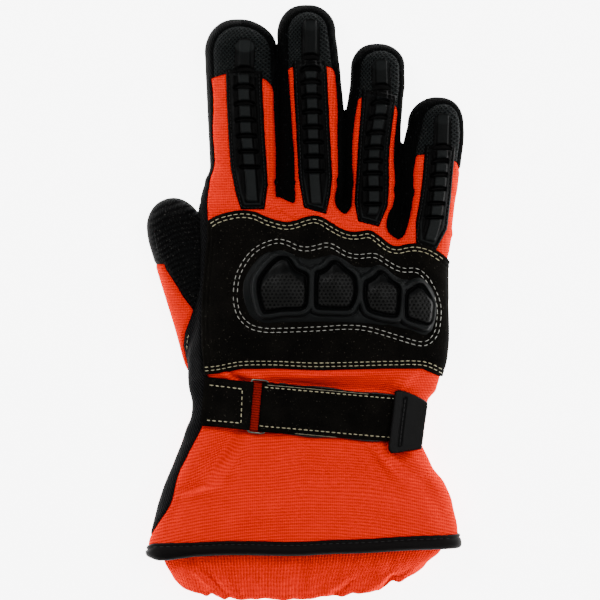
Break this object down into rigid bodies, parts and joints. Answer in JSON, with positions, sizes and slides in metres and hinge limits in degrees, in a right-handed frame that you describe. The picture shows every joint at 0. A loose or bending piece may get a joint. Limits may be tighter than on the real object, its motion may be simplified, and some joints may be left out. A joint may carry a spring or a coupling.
{
  "type": "extrication glove",
  "caption": "Long-cuffed right-hand rescue glove lying back up, with moulded knuckle and finger guards, a ring-pull wrist strap, a bound cuff and an inner cuff.",
  "frame": {"origin": "a point on the flat of the palm that rests on the table, below the knuckle guard", "axes": "+Z out of the back of the hand, +Y towards the fingertips, +X towards the little finger"},
  "size_m": [0.1517, 0.2842, 0.0365],
  "materials": {
    "orange_cloth": "bright orange cloth with a fine raised rib and dense weave, dull",
    "orange_webbing": "deep orange ribbed webbing, dull",
    "black_cloth": "black stretch cloth with a fine diagonal rib, dull",
    "palm_leather": "black synthetic leather, slightly satin",
    "suede": "black synthetic suede with a soft nap, very dull",
    "moulded_rubber": "black moulded rubber, satin",
    "grip_texture": "black reinforced cloth with a raised diamond grip pattern, slightly glossy points",
    "binding": "black smooth edge binding, satin",
    "steel_wire": "bright plated steel wire, glossy"
  },
  "bodies": {
    "root": {"palm_panel": "palm_leather", "cuff_palm": "orange_cloth", "back_cloth": "orange_cloth", "cuff_back": "orange_cloth", "fingertip_cap_index": "grip_texture", "fingertip_cap_middle": "grip_texture", "fingertip_cap_ring": "grip_texture", "fingertip_cap_little": "grip_texture", "thumb_side_strip": "black_cloth", "fourchette_index_middle": "black_cloth", "fourchette_middle_ring": "black_cloth", "fourchette_ring_little": "black_cloth", "little_side_strip": "black_cloth", "thumb_cloth": "orange_cloth", "thumb_grip": "grip_texture", "knuckle_panel": "suede", "knuckle_guard": "moulded_rubber", "finger_guard_index": "moulded_rubber", "finger_guard_middle": "moulded_rubber", "finger_guard_ring": "moulded_rubber", "finger_guard_little": "moulded_rubber", "cuff_binding": "binding", "inner_cuff": "orange_cloth", "strap_anchor": "suede", "strap_ring": "steel_wire", "ring_webbing": "orange_webbing", "wrist_strap": "suede", "pull_tab": "moulded_rubber"}
  },
  "joints": []
}
